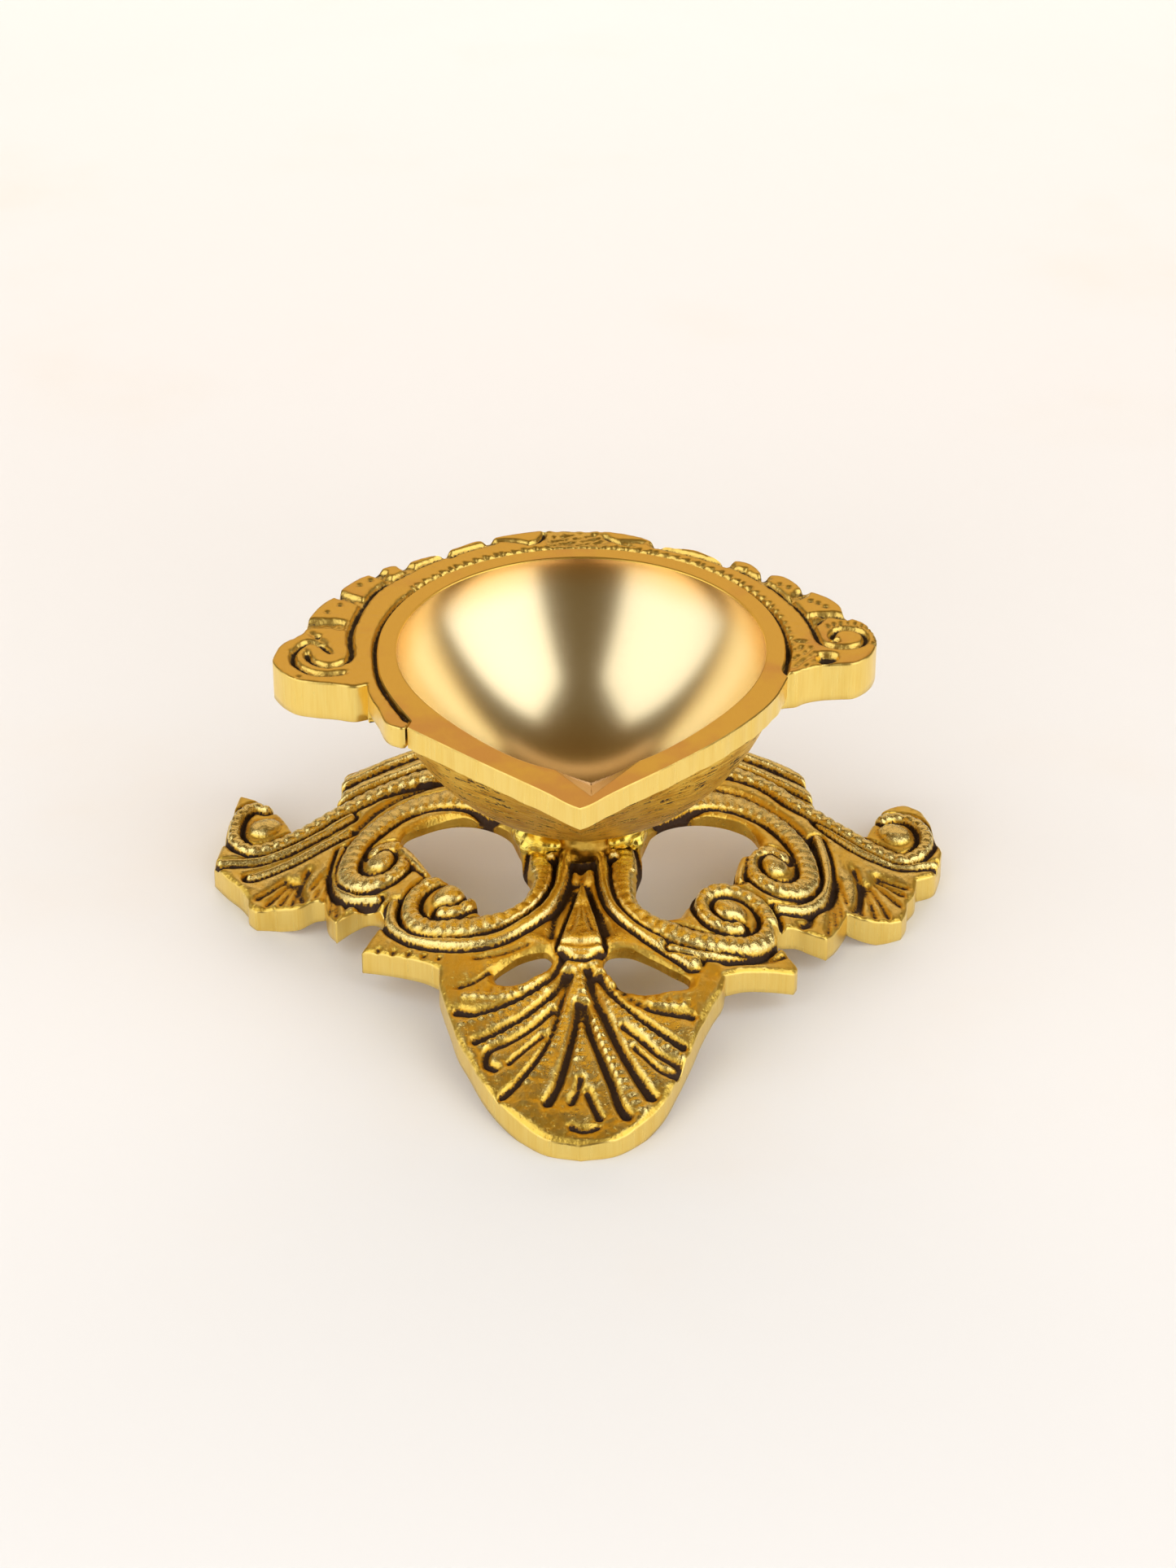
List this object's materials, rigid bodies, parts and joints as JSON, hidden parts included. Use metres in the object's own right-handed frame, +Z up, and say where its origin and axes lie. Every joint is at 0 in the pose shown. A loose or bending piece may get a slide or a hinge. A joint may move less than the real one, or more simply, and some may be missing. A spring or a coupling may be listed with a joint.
{
  "type": "diya oil lamp",
  "caption": "Cast brass diya oil lamp: a pointed oil bowl with a scrolled crest, on a short neck and a pierced ornamental stand with a palmette foot.",
  "frame": {"origin": "on the table, under the middle of the lamp's outer box", "axes": "+X to the lamp's right, +Y from the spout towards the back, +Z up"},
  "size_m": [0.1024, 0.0899, 0.043],
  "materials": {
    "stand_casting": "sand cast, antiqued in the grooves, polished on the high spots, ground round the edge",
    "bowl_casting": "satin brushed inside, ground flat on the rim, sand cast outside",
    "turned_brass": "turned and left bright",
    "braze": "bright, as it flowed",
    "plain_hardware": "plain turned"
  },
  "bodies": {
    "root": {"stand": "stand_casting", "oil_bowl": "bowl_casting", "neck_collar": "turned_brass", "braze_bead_left": "braze", "braze_bead_right": "braze", "washer": "plain_hardware", "fixing_screw": "plain_hardware"}
  },
  "joints": []
}
